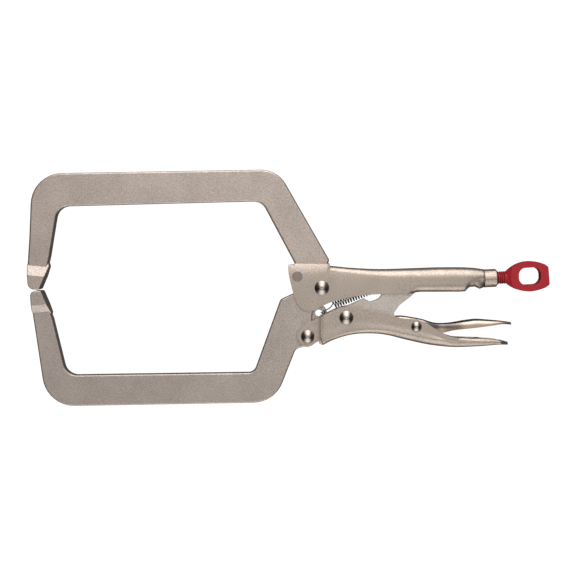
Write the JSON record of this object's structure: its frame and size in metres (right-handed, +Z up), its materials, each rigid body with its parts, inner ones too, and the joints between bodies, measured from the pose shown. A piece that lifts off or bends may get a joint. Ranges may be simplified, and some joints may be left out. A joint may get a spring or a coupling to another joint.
{
  "type": "locking c clamp",
  "caption": "Large locking C clamp: two long flat arms meeting at thick tips, folded steel handles with an over-centre toggle, release lever and adjusting screw with a finger loop.",
  "frame": {"origin": "centre of the whole tool in plan, at the height of the rivet heads it lies on", "axes": "+X from the jaw tips to the adjusting loop, +Y from the moving arm to the fixed arm, +Z up through the tool's thickness, parallel to every hinge"},
  "size_m": [0.4579, 0.2076, 0.022],
  "materials": {
    "plated_steel": "satin nickel plate over blasted steel",
    "polished_steel": "polished",
    "spring_steel": "bright drawn wire",
    "red_coating": "satin red coating"
  },
  "bodies": {
    "frame": {"upper_handle": "plated_steel", "adjusting_nut": "plated_steel", "fixed_arm": "plated_steel", "fixed_arm_pin": "plated_steel", "main_rivet": "polished_steel", "return_spring": "spring_steel"},
    "lower_jaw": {"moving_arm": "plated_steel", "handle_rivet": "polished_steel"},
    "lower_handle": {"lower_handle": "plated_steel", "link_rivet": "polished_steel", "lever_rivet": "polished_steel"},
    "toggle_link": {"toggle_link": "plated_steel"},
    "release_lever": {"release_lever": "plated_steel"},
    "screw_shank": {"adjusting_screw": "polished_steel"},
    "screw_loop": {"screw_loop": "red_coating"}
  },
  "joints": [
    {"name": "jaw_pivot", "type": "hinge", "parent": "frame", "child": "lower_jaw", "pos_m": [0.0293, 0.0007, 0.011], "axis": [0, 0, 1], "range_deg": [0, 18], "deforming": ["return_spring"]},
    {"name": "handle_pivot", "type": "hinge", "parent": "lower_jaw", "child": "lower_handle", "pos_m": [0.017, -0.042, 0.011], "axis": [0, 0, 1], "range_deg": [-48, 0]},
    {"name": "link_pivot", "type": "hinge", "parent": "lower_handle", "child": "toggle_link", "pos_m": [0.0508, -0.0255, 0.011], "axis": [0, 0, 1], "range_deg": [0, 57]},
    {"name": "lever_pivot", "type": "hinge", "parent": "lower_handle", "child": "release_lever", "pos_m": [0.1121, -0.0333, 0.011], "axis": [0, 0, -1], "range_deg": [0, 9]},
    {"name": "screw_travel", "type": "slide", "parent": "frame", "child": "screw_shank", "axis": [0.9988, 0.0499, 0], "range_m": [0, 0.03]},
    {"name": "loop_turn", "type": "hinge", "parent": "screw_shank", "child": "screw_loop", "pos_m": [0.1864, 0.00935, 0.011], "axis": [0.9988, 0.0499, 0], "range_deg": [0, 5400]}
  ],
  "couplings": [
    {"joint": "handle_pivot", "follows": "jaw_pivot", "ratio": -2.64},
    {"joint": "link_pivot", "follows": "jaw_pivot", "ratio": 3.12},
    {"joint": "loop_turn", "follows": "screw_travel", "rad_per_m": 3141.6}
  ]
}
